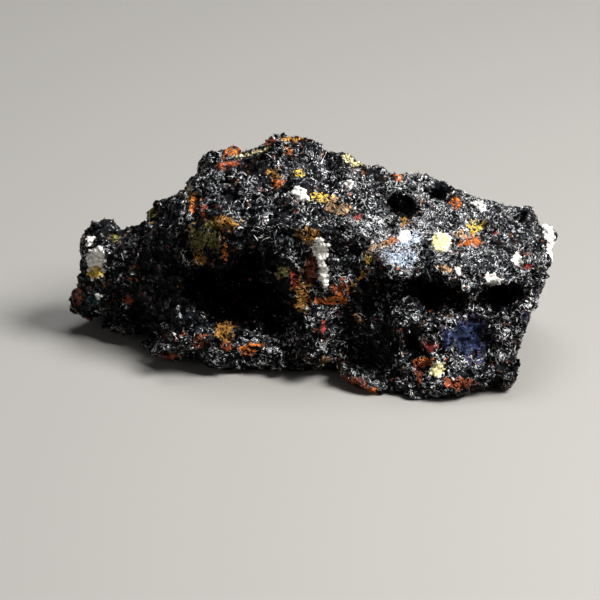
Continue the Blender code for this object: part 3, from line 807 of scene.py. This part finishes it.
@dataclass(frozen=True)
class LimoniteCrust:
    """Limonite: an earthy, matt iron hydroxide crust that crumbles into grains."""

    roughness: float = 0.88
    crumb_mm: float = 0.35

    def material(self) -> bpy.types.Material:
        """Builds the nodes."""
        material, tree, shader = new_material("limonite_crust")
        place = add_node(tree, "ShaderNodeTexCoord").outputs["Object"]
        scaled = add_node(tree, "ShaderNodeMapping", {"Vector": place, "Scale": (1 / MM,) * 3})
        crumbs = add_node(tree, "ShaderNodeTexNoise", {"Vector": scaled.outputs[0],
                                                       "Scale": 1 / self.crumb_mm, "Detail": 3.0})
        colour = add_node(tree, "ShaderNodeAttribute", attribute_name="flake")
        shade = add_node(tree, "ShaderNodeMapRange", {"Value": crumbs.outputs["Fac"], "From Min": 0.3,
                                                      "From Max": 0.7, "To Min": 0.55, "To Max": 1.2})
        shaded = add_node(tree, "ShaderNodeVectorMath", {0: colour.outputs["Color"],
                                                         "Scale": shade.outputs[0]}, operation="SCALE")
        bump = add_node(tree, "ShaderNodeBump", {"Height": crumbs.outputs["Fac"], "Distance": 0.15 * MM})
        tree.links.new(shaded.outputs[0], shader.inputs["Base Color"])
        tree.links.new(bump.outputs[0], shader.inputs["Normal"])
        shader.inputs["Roughness"].default_value = self.roughness
        return material


@dataclass
class RockSkin:
    """The broken surface of the whole lump, which stands for the solid."""

    voxel_mm: float = 0.46
    triangles: int = 194000
    merge_mm: float = 0.01
    facet_height: float = 0.60
    chip_height: float = 0.18
    sheet_mm: float = 2.3
    sheet_height: float = 0.55
    sheet_wander: float = 1.6
    lump_height: float = 0.45
    pit_mm: float = 3.8
    pit_depth: float = 1.7
    base_band: float = 1.6
    most_out: float = 0.9
    ridge_from: float = 0.055
    ridge_band: float = 0.09

    def rock(self) -> bpy.types.Mesh:
        """The solid's mesh, merged and made into small even faces."""
        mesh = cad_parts[NODE].data.copy()
        bm = bmesh.new()
        bm.from_mesh(mesh)
        bmesh.ops.remove_doubles(bm, verts=bm.verts, dist=self.merge_mm * MM)
        bm.to_mesh(mesh)
        bm.free()
        return self.after(mesh, self.make_even)

    def after(self, mesh: bpy.types.Mesh, add_modifiers) -> bpy.types.Mesh:
        """The mesh as it is after some modifiers.

        Args:
            mesh: the mesh to change.
            add_modifiers: adds them to an object.

        Returns:
            A new mesh.
        """
        draft = bpy.data.objects.new("rock_draft", mesh)
        bpy.context.scene.collection.objects.link(draft)
        add_modifiers(draft)
        graph = bpy.context.evaluated_depsgraph_get()
        made = bpy.data.meshes.new_from_object(draft.evaluated_get(graph))
        bpy.data.objects.remove(draft)
        return made

    def make_even(self, draft: bpy.types.Object) -> None:
        """Remeshes the draft and eases its steps."""
        even = draft.modifiers.new("even", "REMESH")
        even.mode = "VOXEL"
        even.voxel_size = self.voxel_mm * MM
        ease = draft.modifiers.new("ease", "SMOOTH")
        ease.factor = 0.5
        ease.iterations = 3

    def thin(self, draft: bpy.types.Object) -> None:
        """Takes the draft down to the chosen number of triangles."""
        count = len(surface_of(draft.data).triangles)
        thin = draft.modifiers.new("thin", "DECIMATE")
        thin.ratio = min(1.0, self.triangles / count)
        thin.use_collapse_triangulate = True

    def ridges(self, mesh: bpy.types.Mesh, surface: Surface) -> np.ndarray:
        """How far each point stands out from the middle of its neighbours, as a share of a face."""
        ends = numbers_of(mesh.edges, "vertices", 2, np.int32)
        both = np.concatenate((ends, ends[:, ::-1]))
        count = np.bincount(both[:, 0], minlength=len(surface.points))
        mean = np.stack([
            np.bincount(both[:, 0], surface.points[both[:, 1], axis], len(surface.points))
            for axis in range(3)
        ], axis=1) / np.maximum(count, 1)[:, None]
        proud = ((surface.points - mean) * surface.normals).sum(axis=1) / self.voxel_mm
        return np.clip((proud - self.ridge_from) / self.ridge_band, 0, 1)

    def sheets(self, points: np.ndarray) -> np.ndarray:
        """Thin split sheets: a saw of the height along FOLIATION, which noise makes wander."""
        wander = self.sheet_wander * soft_noise(points, 7.0, SEED + 3)
        phase = (points @ FOLIATION + wander) / self.sheet_mm
        return (phase - np.floor(phase)) - 0.5

    def relief(self, surface: Surface) -> np.ndarray:
        """Height of the broken surface: lumps, tilted facets, chips and sheets, less the pits."""
        points = surface.points
        facets, _ = FACETS.cells(points)
        chips, _ = CHIPS.cells(points)
        steep = np.sqrt(np.clip(1 - (surface.normals @ FOLIATION) ** 2, 0, 1))
        pits = np.clip(layered_noise(points, self.pit_mm, 2, SEED + 20) - 0.28, 0, 0.4) / 0.4
        height = (
            self.lump_height * layered_noise(points, 5.0, 2, SEED)
            + self.facet_height * facets
            + self.chip_height * chips
            + self.sheet_height * self.sheets(points) * steep
            - self.pit_depth * pits
        )
        return np.minimum(height, self.most_out)

    def build(self, paint: Paint) -> tuple[bpy.types.Object, Surface]:
        """Makes the skin.

        Args:
            paint: what stains it.

        Returns:
            The piece, and its surface for the flakes to stand on.
        """
        mesh = self.rock()
        surface = surface_of(mesh)
        fade = np.clip(surface.points[:, 2] / self.base_band, 0, 1)
        moved = surface.points + surface.normals * (self.relief(surface) * fade)[:, None]
        moved[:, 2] = np.maximum(moved[:, 2], 0)
        mesh.vertices.foreach_set("co", (moved * MM).astype(np.float32).ravel())
        mesh.update()
        mesh = self.after(mesh, self.thin)
        mesh.name = "rock_skin"
        worked = surface_of(mesh)
        paint.cover(worked)
        # Painted highlights: convex ridges show more curls, most where the painted glint share is high.
        painted_highlight_share = np.clip(worked.shine * 1.5 * (0.5 + layered_noise(worked.points, 1.7, 2, SEED + 70)), 0, 1)
        add_value(mesh, "shine", worked.shine)
        add_value(mesh, "order", worked.order)
        add_value(mesh, "upright", worked.upright)
        add_value(mesh, "ridge", self.ridges(mesh, worked) * painted_highlight_share)
        add_colour(mesh, "stain", worked.stain, worked.stained)
        mesh.shade_smooth()
        piece = as_piece("rock_skin", mesh, SpeculariteGround().material())
        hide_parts(NODE)
        return piece, worked


@dataclass
class Spots:
    """Places on a surface, with the values of the surface there."""

    points: np.ndarray
    normals: np.ndarray
    nearest: np.ndarray


def scattered(surface: Surface, count: int, weight: np.ndarray, rng: np.random.Generator) -> Spots:
    """Scatters places over a surface, more of them where the weight is higher.

    A triangle is drawn by its area times its weight, and a place in it by two shares that
    are folded back into the triangle.

    Args:
        surface: what they lie on.
        count: how many there are.
        weight: one number for each of the surface's points.
        rng: the source of random numbers.

    Returns:
        The places.
    """
    a, b, c = (surface.points[surface.triangles[:, i]] for i in range(3))
    normal = np.cross(b - a, c - a)
    area = np.linalg.norm(normal, axis=1)
    share = np.cumsum(area * weight[surface.triangles].mean(axis=1))
    picked = np.searchsorted(share, rng.random(count) * share[-1])
    first, second = rng.random((2, count))
    fold = first + second > 1
    first, second = np.where(fold, 1 - first, first), np.where(fold, 1 - second, second)
    a, b, c = a[picked], b[picked], c[picked]
    points = a + first[:, None] * (b - a) + second[:, None] * (c - a)
    unit = normal[picked] / np.maximum(area[picked], 1e-9)[:, None]
    return Spots(points, unit, surface.triangles[picked, 0])


def turned(vectors: np.ndarray, axes: np.ndarray, angles: np.ndarray) -> np.ndarray:
    """Turns vectors about unit axes: cosine of itself, sine of the cross, rest along the axis."""
    cosine, sine = np.cos(angles)[:, None], np.sin(angles)[:, None]
    along = (vectors * axes).sum(axis=1, keepdims=True)
    return vectors * cosine + np.cross(axes, vectors) * sine + axes * along * (1 - cosine)


def prism_triangles(rings: int, corners: int, count: int) -> np.ndarray:
    """Triangles of many closed rods, each a run of rings with the same number of corners.

    Args:
        rings: rings in a rod.
        corners: corners of a ring.
        count: how many rods there are, one after another.

    Returns:
        Three vertex numbers for each triangle, facing outwards.
    """
    ring, corner = np.meshgrid(np.arange(rings - 1), np.arange(corners), indexing="ij")
    low, after = ring * corners + corner, ring * corners + (corner + 1) % corners
    high, high_after = low + corners, after + corners
    sides = np.stack((low, after, high_after, low, high_after, high), axis=-1).reshape(-1, 3)
    fan = np.arange(1, corners - 1)
    start = np.column_stack((np.zeros_like(fan), fan + 1, fan))
    last = (rings - 1) * corners
    end = np.column_stack((np.full_like(fan, last), last + fan, last + fan + 1))
    one = np.concatenate((sides, start, end))
    return (one[None] + (np.arange(count) * rings * corners)[:, None, None]).reshape(-1, 3)


def flake_colours(surface: Surface, spots: Spots, rng: np.random.Generator, dark_share: float,
                  ) -> tuple[np.ndarray, np.ndarray]:
    """Gives each flake a colour: silver as a painted glint, more often where the zones paint light, else dark,
    or its stain.

    Args:
        surface: the rock below.
        spots: the flakes' places.
        rng: the source of random numbers.
        dark_share: share of flakes that stay dark where the painted glint and shade share is full.

    Returns:
        The colours, and how metallic each is: crust not at all, painted glints half, and the dark ones fully.
    """
    count = len(spots.points)
    shine = surface.shine[spots.nearest]
    clump = np.clip(0.5 + 1.7 * layered_noise(spots.points, 2.1, 2, SEED + 80), 0.04, 1)
    # Painted glints: silver flakes, more of them where the painted glint and shade share is high.
    painted_glint = rng.random(count) < shine * (1 - dark_share) * clump * 1.3
    tone = np.where(painted_glint, rng.uniform(0.55, 1.0, count), rng.uniform(0.002, 0.012, count))
    colours = tone[:, None] * (1 + rng.normal(0, 0.035, (count, 3)))
    stained = (surface.stained[spots.nearest] * rng.uniform(0.5, 1.2, count)) > 0.52
    crust = surface.stain[spots.nearest] * rng.uniform(0.6, 1.5, count)[:, None]
    metal = np.where(stained, 0.0, np.where(painted_glint, PAINTED_GLINT_METAL, 1.0))
    return np.clip(np.where(stained[:, None], crust, colours), 0, 1), metal


@dataclass
class Laths:
    """Thin, slightly bent laths that lie in the surface: the edges of flakes, many silver as painted glints.

    With a breakage they follow its borders, and else they follow the foliation.
    """

    name: str
    count: int
    seed: int
    breakage: Breakage | None = None
    rings: int = 4
    corners: int = 3
    length: tuple[float, float] = (0.9, 2.4)
    width: tuple[float, float] = (0.10, 0.24)
    flatness: float = 0.55
    lift: float = 0.02
    loosest: float = 1.7
    strictest: float = 0.16
    pitch: float = 0.05
    bend: float = 0.10
    dark_share: float = 0.2
    tries: int = 7

    def places(self, surface: Surface, rng: np.random.Generator) -> tuple[Spots, np.ndarray]:
        """Chooses where the laths lie and which way they run.

        Args:
            surface: the rock.
            rng: the source of random numbers.

        Returns:
            The places and a unit vector along each lath.
        """
        weight = np.clip(surface.shine, 0.03, 1.1) * np.clip(surface.points[:, 2] / 1.2, 0, 1)
        if self.breakage is None:
            spots = scattered(surface, self.count, weight * (0.2 + surface.order), rng)
            level = np.cross(FOLIATION, spots.normals)
            up = np.array([0, 0, 1.0]) - spots.normals * spots.normals[:, 2:]
            upright = surface.upright[spots.nearest][:, None]
            along = unit(level * (1 - upright) + up * upright + rng.normal(0, 0.05, up.shape))
            spread = self.loosest + surface.order[spots.nearest] * (self.strictest - self.loosest)
            return spots, turned(along, spots.normals, rng.normal(0, 1, self.count) * spread)
        spots = scattered(surface, self.count * self.tries, weight, rng)
        distance = self.breakage.cells(spots.points)[1] * rng.uniform(0.6, 1.4, len(spots.points))
        kept = np.argsort(distance, kind="stable")[:self.count]
        spots = Spots(spots.points[kept], spots.normals[kept], spots.nearest[kept])
        return spots, self.breakage.along(spots.points, spots.normals)

    def build(self, surface: Surface, material: bpy.types.Material) -> bpy.types.Object:
        """Makes the laths.

        A lath's middle line is a straight run with a bow to one side that grows with the
        square of the share along it. Its section is a low triangle that shrinks to the ends.
        """
        rng = np.random.default_rng(self.seed)
        spots, along = self.places(surface, rng)
        along = turned(along, unit(np.cross(spots.normals, along)), rng.normal(0, self.pitch, self.count))
        side = unit(np.cross(spots.normals, along))
        out = np.cross(along, side)
        length = rng.uniform(*self.length, self.count) * rng.uniform(0.5, 1, self.count)
        width = rng.uniform(*self.width, self.count)
        share = np.linspace(-1, 1, self.rings)
        bow = (rng.normal(0, self.bend, self.count) * length)[:, None] * (share ** 2 - 0.4)
        middle = (
            spots.points[:, None]
            + along[:, None] * (length[:, None] * share / 2)[..., None]
            + side[:, None] * bow[..., None]
            + out[:, None] * (self.lift - 0.08 * length[:, None] * share ** 2)[..., None]
        )
        taper = (1 - 0.7 * np.abs(share) ** 2)[None, :] * width[:, None]
        angle = np.pi / 2 + 2 * np.pi * np.arange(self.corners) / self.corners
        around = (
            side[:, None] * np.cos(angle)[None, :, None]
            + out[:, None] * (self.flatness * np.sin(angle))[None, :, None]
        )
        points = middle[:, :, None] + around[:, None] * taper[..., None, None]
        per_flake = self.rings * self.corners
        mesh = mesh_of(self.name, above_floor(points),
                       prism_triangles(self.rings, self.corners, self.count))
        colours, metal = flake_colours(surface, spots, rng, self.dark_share)
        add_colour(mesh, "flake", np.repeat(colours, per_flake, axis=0), np.repeat(metal, per_flake))
        return as_piece(self.name, mesh, material)


@dataclass
class Plates:
    """Flat flakes that lie along the foliation, tilted each its own way."""

    name: str
    count: int
    seed: int
    corners: int = 5
    radius: tuple[float, float] = (0.25, 0.85)
    thickness: tuple[float, float] = (0.06, 0.14)
    stretch: tuple[float, float] = (0.35, 1.0)
    spread: float = 0.22
    sunk: float = 0.03
    dark_share: float = 0.45

    def build(self, surface: Surface, material: bpy.types.Material) -> bpy.types.Object:
        """Makes the plates.

        A plate is two like outlines, a thickness apart. The outline's corners lie round an
        ellipse at uneven angles and distances.
        """
        rng = np.random.default_rng(self.seed)
        weight = np.clip(surface.shine, 0.10, 1.0) * np.clip(surface.points[:, 2] / 1.2, 0, 1)
        spots = scattered(surface, self.count, weight, rng)
        lie = unit(0.35 * FOLIATION + spots.normals + rng.normal(0, self.spread, spots.points.shape))
        first = unit(np.cross(lie, rng.normal(0, 1, lie.shape)))
        second = np.cross(lie, first)
        radius = rng.uniform(*self.radius, self.count) * rng.uniform(0.45, 1, self.count)
        squeeze = rng.uniform(*self.stretch, self.count)
        angle = 2 * np.pi * (np.arange(self.corners) + rng.uniform(-0.3, 0.3, (self.count, self.corners)))
        angle /= self.corners
        far = radius[:, None] * rng.uniform(0.7, 1.1, angle.shape)
        outline = (
            first[:, None] * (np.cos(angle) * far)[..., None]
            + second[:, None] * (np.sin(angle) * far * squeeze[:, None])[..., None]
        )
        half = rng.uniform(*self.thickness, self.count) / 2
        faces = [outline + lie[:, None] * (sign * half)[:, None, None] for sign in (-1, 1)]
        middle = spots.points - spots.normals * self.sunk
        points = middle[:, None, None] + np.stack(faces, axis=1)
        per_flake = 2 * self.corners
        mesh = mesh_of(self.name, above_floor(points), prism_triangles(2, self.corners, self.count))
        colours, metal = flake_colours(surface, spots, rng, self.dark_share)
        add_colour(mesh, "flake", np.repeat(colours, per_flake, axis=0), np.repeat(metal, per_flake))
        return as_piece(self.name, mesh, material)


def ball_shape() -> tuple[np.ndarray, np.ndarray]:
    """The corners and triangles of an icosahedron of radius 1."""
    bm = bmesh.new()
    bmesh.ops.create_icosphere(bm, subdivisions=1, radius=1)
    points = np.array([vert.co[:] for vert in bm.verts])
    triangles = np.array([[vert.index for vert in face.verts] for face in bm.faces])
    bm.free()
    return points, triangles


@dataclass
class Grains:
    """Angular grains: quartz in its nests, or crumbs of crust in the stained patches."""

    name: str
    count: int
    seed: int
    slot: str
    size: tuple[float, float]
    sunk: float = 0.25
    flatness: float = 0.6
    nests: dict[str, Patch] | None = None

    def build(self, surface: Surface, material: bpy.types.Material) -> bpy.types.Object:
        """Makes the grains.

        A grain is an icosahedron with uneven corners, stretched along three axes of its own.
        """
        rng = np.random.default_rng(self.seed)
        basis = picture_basis()
        seen = (surface.points - VIEW_MIDDLE) @ basis
        front = np.clip((surface.normals @ basis[:, 2] + 0.2) / 0.2, 0, 1)
        rough = layered_noise(surface.points, 1.6, 2, self.seed) * 0.35
        colour = surface.stain
        weight = surface.stained ** 2
        if self.nests:
            weight = np.clip(soft_noise(surface.points, 9, self.seed) - 0.52, 0, 1) * 0.3 * (1 - front)
            colour = np.tile(linear(Tint.WHITE.value), (len(weight), 1))
            for nest in self.nests.values():
                share = inside_patch(seen, nest, rough, 0.3) * front
                weight = np.maximum(weight, share)
                colour = colour + share[:, None] * (np.array(linear(nest.tint.value)) - colour)
        weight = weight * np.clip(surface.points[:, 2] / 1.2, 0, 1)
        spots = scattered(surface, self.count, weight, rng)
        corners, faces = ball_shape()
        out = unit(spots.normals + rng.normal(0, 0.25, spots.points.shape))
        first = unit(np.cross(out, rng.normal(0, 1, out.shape)))
        own_axes = np.stack((first, np.cross(out, first), out * self.flatness), axis=1)
        size = rng.uniform(*self.size, self.count)[:, None] * rng.uniform(0.5, 1.0, (self.count, 3))
        uneven = corners[None] * rng.uniform(0.75, 1.15, (self.count, len(corners), 1))
        points = np.einsum("nck,nkj->ncj", uneven * size[:, None], own_axes)
        points += (spots.points - spots.normals * size.mean(axis=1)[:, None] * self.sunk)[:, None]
        triangles = (faces[None] + (np.arange(self.count) * len(corners))[:, None, None]).reshape(-1, 3)
        mesh = mesh_of(self.name, above_floor(points), triangles)
        tint = colour[spots.nearest] * rng.uniform(0.75, 1.15, self.count)[:, None]
        add_colour(mesh, "flake", np.repeat(np.clip(tint, 0, 1), len(corners), axis=0),
                   np.ones(self.count * len(corners)))
        return as_piece(self.name, mesh, material)


@dataclass
class Studio:
    """A plain pale floor, soft lights and the camera."""

    floor_side: float = 4.0
    floor_colour: str = "8C8A86"
    world_grey: float = 0.05
    lens: float = 300.0
    sensor: float = 36.0
    frame_mm: float = 150.0
    look_at: tuple[float, float, float] = (-2.5, -7.5, 0.0)

    def floor(self) -> None:
        """Lays the floor."""
        half = self.floor_side / 2
        mesh = bpy.data.meshes.new("floor")
        corners = [(-half, -half, 0), (half, -half, 0), (half, half, 0), (-half, half, 0)]
        mesh.from_pydata(corners, [], [(0, 1, 2, 3)])
        plate = bpy.data.objects.new("floor", mesh)
        bpy.context.scene.collection.objects.link(plate)
        material, tree, shader = new_material("matt_backdrop_paper")
        shader.inputs["Base Color"].default_value = (*linear(self.floor_colour), 1)
        shader.inputs["Roughness"].default_value = 0.9
        mesh.materials.append(material)

    def light(self, name: str, place: tuple[float, float, float], side: float, power: float,
              colour: tuple[float, float, float]) -> None:
        """Hangs a square soft light that faces the specimen.

        Args:
            name: the light's name.
            place: where it is, in metres.
            side: its side in metres.
            power: its power in watts.
            colour: its colour.
        """
        data = bpy.data.lights.new(name, "AREA")
        data.shape, data.size, data.energy, data.color = "SQUARE", side, power, colour
        lamp = bpy.data.objects.new(name, data)
        lamp.location = place
        lamp.rotation_euler = (Vector(place) - Vector((0, 0, 0.02))).to_track_quat("Z", "Y").to_euler()
        bpy.context.scene.collection.objects.link(lamp)

    def camera(self) -> None:
        """Sets the camera up at the front view's tilt."""
        basis = picture_basis()
        target = (basis @ np.array(self.look_at) + VIEW_MIDDLE) * MM
        away = self.frame_mm * MM * self.lens / self.sensor
        data = bpy.data.cameras.new("camera")
        data.lens, data.sensor_width = self.lens, self.sensor
        data.clip_start, data.clip_end = 0.05, 20
        viewer = bpy.data.objects.new("camera", data)
        turn = Matrix(basis.tolist()).to_4x4()
        viewer.matrix_world = Matrix.Translation(Vector(target + basis[:, 2] * away)) @ turn
        bpy.context.scene.collection.objects.link(viewer)
        bpy.context.scene.camera = viewer

    def build(self) -> None:
        """Sets up the floor, the lights, the world and the camera."""
        self.floor()
        self.light("key", (0.44, -0.20, 0.60), 0.34, 13.0, (1, 0.99, 0.97))
        self.light("top", (0.05, 0.25, 0.80), 0.40, 4.5, (0.97, 0.98, 1))
        self.light("fill", (-0.7, -0.6, 0.45), 0.50, 0.8, (1, 1, 1))
        world = bpy.context.scene.world or bpy.data.worlds.new("world")
        bpy.context.scene.world = world
        world.use_nodes = True
        grey = self.world_grey
        world.node_tree.nodes["Background"].inputs["Color"].default_value = (grey, grey, grey, 1)
        bpy.context.scene.view_settings.view_transform = "Standard"
        self.camera()


def main() -> None:
    """Builds the specimen and its studio, and reports each piece."""
    logging.basicConfig(level=logging.INFO, format="%(message)s")
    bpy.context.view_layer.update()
    skin, surface = RockSkin().build(Paint())
    flake = SpeculariteFlake().material()
    Laths("edge_laths", 6000, SEED + 100, FACETS, width=(0.08, 0.18)).build(surface, flake)
    Laths("chip_laths", 5000, SEED + 101, CHIPS, length=(0.6, 1.5), width=(0.06, 0.12)).build(
        surface, flake)
    Laths("foliation_laths", 5000, SEED + 106, None, length=(1.0, 3.4), width=(0.07, 0.14)).build(
        surface, flake)
    Plates("flat_flakes", 2600, SEED + 102).build(surface, flake)
    Plates("small_flakes", 4000, SEED + 103, radius=(0.15, 0.42), spread=0.35).build(surface, flake)
    Grains("crust_crumbs", 1800, SEED + 104, "limonite", (0.08, 0.22)).build(
        surface, LimoniteCrust().material())
    Grains("quartz_grains", 2600, SEED + 105, "quartz", (0.40, 0.95), 0.15, 0.45, GRAIN_NESTS).build(
        surface, MilkyQuartz().material())
    Studio().build()


if __name__ == "__main__":
    main()
